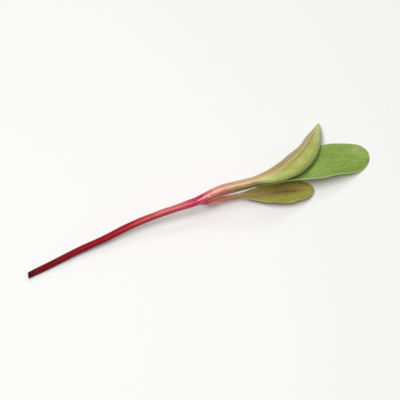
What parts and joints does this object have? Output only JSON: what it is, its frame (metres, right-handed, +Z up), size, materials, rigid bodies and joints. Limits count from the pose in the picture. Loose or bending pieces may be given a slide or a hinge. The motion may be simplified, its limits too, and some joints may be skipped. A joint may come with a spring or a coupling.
{
  "type": "beet microgreen",
  "caption": "Cut beet seedling lying down: a thin red stem, a swollen crown, long-stalked seed leaves, a young true leaf and a leaf bud, for a garnish or a salad.",
  "frame": {"origin": "middle of the bounding box in plan, on the surface that the seedling lies on", "axes": "+Z up from that surface; +X along the seedling from the cut end of its stem towards its leaf tips; +Y to the side that the upper seed leaf's tip bends to"},
  "size_m": [0.074, 0.0162, 0.0077],
  "materials": {
    "stem_skin": "satin crimson plant skin, darker at the cut and pinker at the crown",
    "upper_leaf": "soft satin underside of a seed leaf, yellow-green with a pink midrib",
    "lower_leaf": "soft satin upper side of a seed leaf, fresh green with a pale rim",
    "true_leaf": "soft satin olive young leaf with a red midrib",
    "bud_leaf": "soft satin yellow-green bud flushed with pink"
  },
  "bodies": {
    "root": {"stem": "stem_skin", "upper_cotyledon": "upper_leaf", "lower_cotyledon": "lower_leaf", "first_true_leaf": "true_leaf", "leaf_bud": "bud_leaf"}
  },
  "joints": []
}
